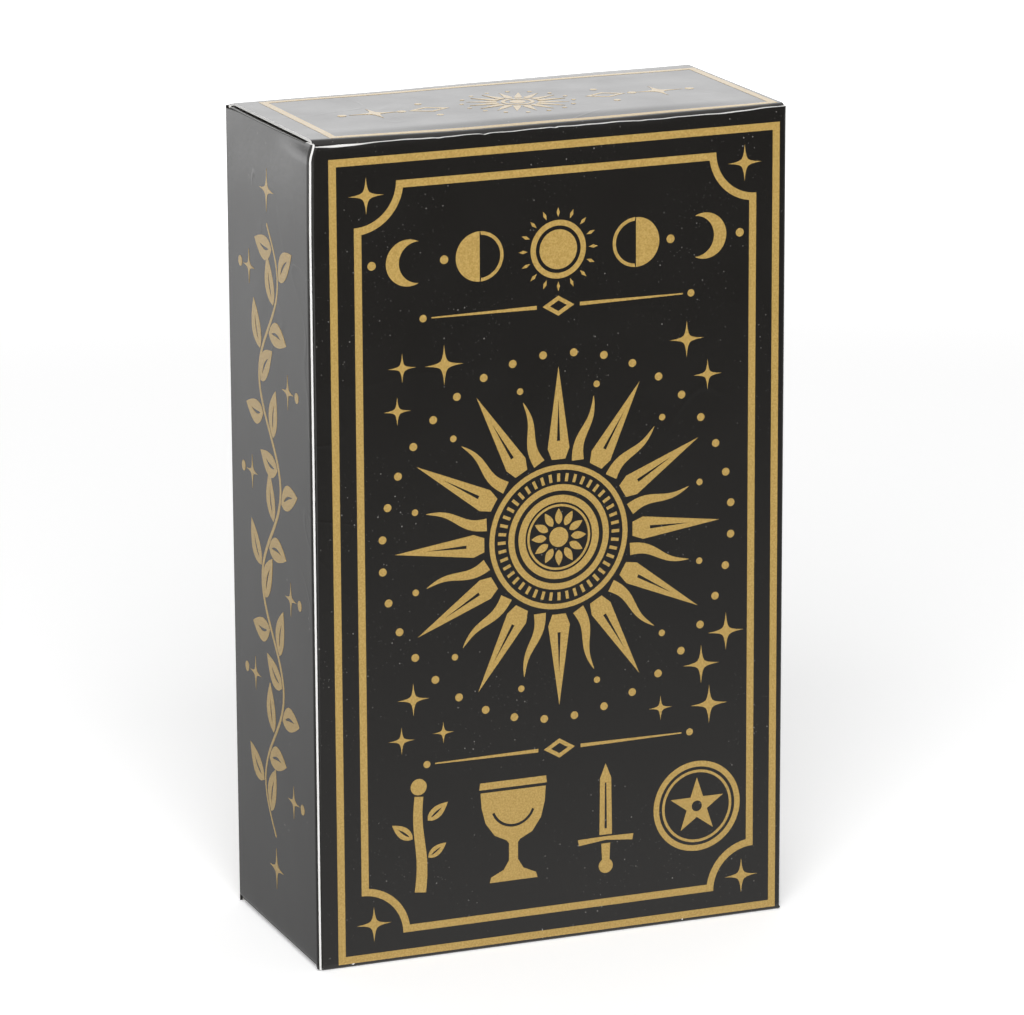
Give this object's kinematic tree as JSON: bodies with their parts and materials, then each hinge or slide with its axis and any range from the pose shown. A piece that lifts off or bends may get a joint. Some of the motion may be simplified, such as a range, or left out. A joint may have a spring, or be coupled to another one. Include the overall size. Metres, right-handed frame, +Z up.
{
  "type": "tarot card deck",
  "caption": "Tarot cards and a guide booklet in an upright black and gold tuck carton with a hinged lid, tuck flap and dust flaps.",
  "frame": {"origin": "middle of the carton's base, on the surface it stands on", "axes": "+Z up along the carton's height, front face towards -Y, +X to the right seen from the front"},
  "size_m": [0.075, 0.036, 0.125],
  "materials": {
    "printed_board": "gloss-laminated black and gold print on white-core folding board",
    "card_stock": "satin-varnished card with a black and gold back",
    "booklet_cover_paper": "satin black printed cover",
    "booklet_paper": "uncoated paper",
    "staple_wire": "bright drawn wire"
  },
  "bodies": {
    "sleeve": {"front_panel": "printed_board", "back_panel": "printed_board", "left_side_panel": "printed_board", "right_side_panel": "printed_board", "seam_flap": "printed_board", "bottom_panel": "printed_board", "bottom_tuck_flap": "printed_board", "bottom_left_dust_flap": "printed_board", "bottom_right_dust_flap": "printed_board"},
    "lid": {"lid_panel": "printed_board"},
    "tuck_flap": {"lid_tuck_flap": "printed_board"},
    "left_dust_flap": {"top_left_dust_flap": "printed_board"},
    "right_dust_flap": {"top_right_dust_flap": "printed_board"},
    "deck": {"card_00_fool": "card_stock", "card_01_magician": "card_stock", "card_02_high_priestess": "card_stock", "card_03_empress": "card_stock", "card_04_emperor": "card_stock", "card_05_hierophant": "card_stock", "card_06_lovers": "card_stock", "card_07_chariot": "card_stock", "card_08_strength": "card_stock", "card_09_hermit": "card_stock", "card_10_wheel_of_fortune": "card_stock", "card_11_justice": "card_stock", "card_12_hanged_man": "card_stock", "card_13_death": "card_stock", "card_14_temperance": "card_stock", "card_15_devil": "card_stock", "card_16_tower": "card_stock", "card_17_star": "card_stock", "card_18_moon": "card_stock", "card_19_sun": "card_stock", "card_20_judgement": "card_stock", "card_21_world": "card_stock", "card_wands_ace_to_ten": "card_stock", "card_cups_ace_to_ten": "card_stock", "card_swords_ace_to_ten": "card_stock", "card_pentacles_ace_to_ten": "card_stock", "card_wands_page": "card_stock", "card_wands_knight": "card_stock", "card_wands_queen": "card_stock", "card_wands_king": "card_stock", "card_cups_page": "card_stock", "card_cups_knight": "card_stock", "card_cups_queen": "card_stock", "card_cups_king": "card_stock", "card_swords_page": "card_stock", "card_swords_knight": "card_stock", "card_swords_queen": "card_stock", "card_swords_king": "card_stock", "card_pentacles_page": "card_stock", "card_pentacles_knight": "card_stock", "card_pentacles_queen": "card_stock", "card_pentacles_king": "card_stock"},
    "booklet": {"booklet_cover": "booklet_cover_paper", "booklet_sheets": "booklet_paper", "booklet_staples": "staple_wire"}
  },
  "joints": [
    {"name": "lid_hinge", "type": "hinge", "parent": "sleeve", "child": "lid", "pos_m": [0, 0.01775, 0.12475], "axis": [-1, 0, 0], "range_deg": [0, 170]},
    {"name": "tuck_flap_crease", "type": "hinge", "parent": "lid", "child": "tuck_flap", "pos_m": [0, -0.0162, 0.1245], "axis": [1, 0, 0], "range_deg": [0, 85]},
    {"name": "left_dust_flap_crease", "type": "hinge", "parent": "sleeve", "child": "left_dust_flap", "pos_m": [-0.03725, 0, 0.12415], "axis": [0, -1, 0], "range_deg": [0, 102]},
    {"name": "right_dust_flap_crease", "type": "hinge", "parent": "sleeve", "child": "right_dust_flap", "pos_m": [0.03725, 0, 0.12415], "axis": [0, 1, 0], "range_deg": [0, 102]},
    {"name": "deck_slide", "type": "slide", "parent": "sleeve", "child": "deck", "axis": [0, 0, 1], "range_m": [0, 0.0024]},
    {"name": "booklet_slide", "type": "slide", "parent": "sleeve", "child": "booklet", "axis": [0, 0, 1], "range_m": [0, 0.0084]}
  ],
  "couplings": [
    {"joint": "tuck_flap_crease", "follows": "lid_hinge", "ratio": 0.5},
    {"joint": "left_dust_flap_crease", "follows": "lid_hinge", "ratio": 0.6},
    {"joint": "right_dust_flap_crease", "follows": "lid_hinge", "ratio": 0.6}
  ]
}
